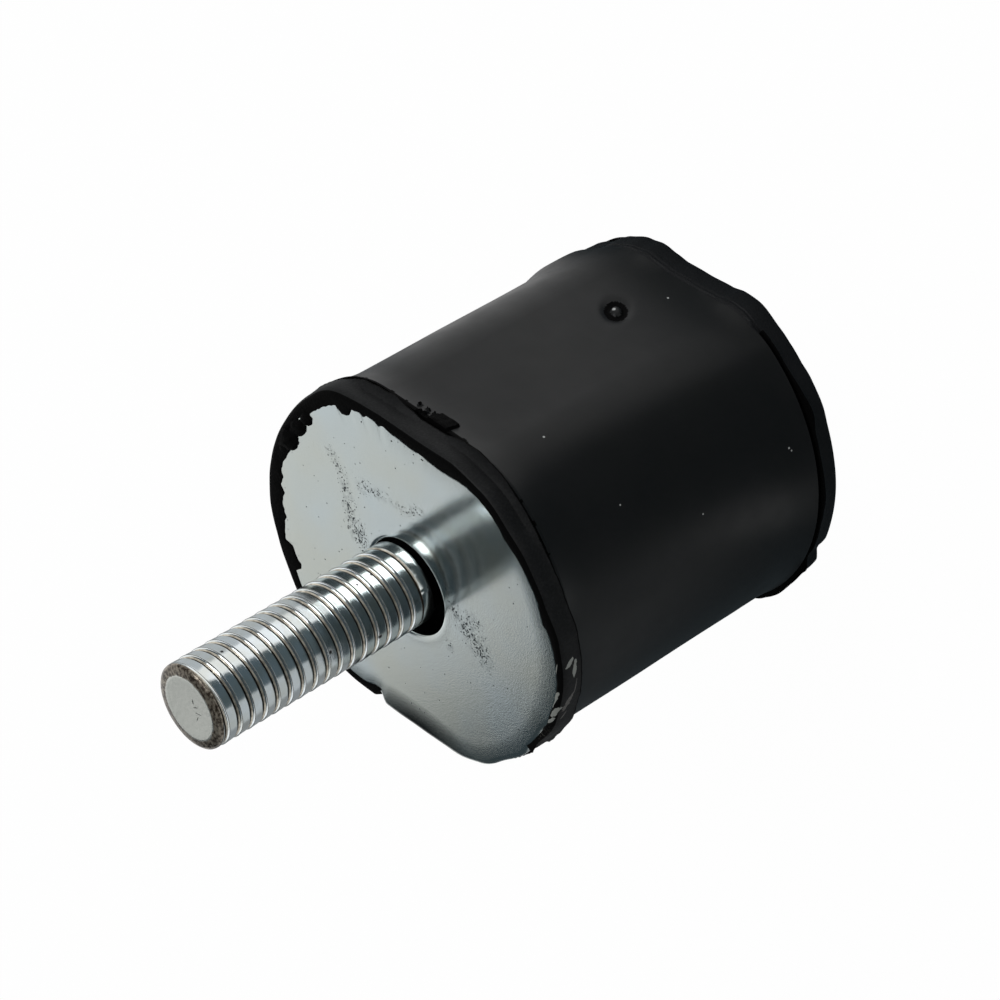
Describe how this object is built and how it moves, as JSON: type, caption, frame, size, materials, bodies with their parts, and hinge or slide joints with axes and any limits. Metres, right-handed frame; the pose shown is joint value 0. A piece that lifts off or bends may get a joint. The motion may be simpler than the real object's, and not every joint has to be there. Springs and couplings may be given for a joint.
{
  "type": "rubber buffer",
  "caption": "Cylindrical rubber-to-metal buffer with a threaded stud at one end, a tapped hole at the other, and two opposite flats along the rubber.",
  "frame": {"origin": "centre of the tapped hole's mouth, on the face of the tapped end plate", "axes": "+Z along the stud, away from the rubber; +X out of the rubber flat with the gate mark; Y across, parallel to the flats"},
  "size_m": [0.0245, 0.0272, 0.0433],
  "materials": {
    "black_rubber": "satin moulded black rubber",
    "zinc_plated_steel": "pale blue bright zinc plating with a slight orange peel"
  },
  "bodies": {
    "root": {"rubber_body": "black_rubber", "stud_plate": "zinc_plated_steel", "threaded_stud": "zinc_plated_steel", "tapped_plate": "zinc_plated_steel", "threaded_insert": "zinc_plated_steel"}
  },
  "joints": []
}
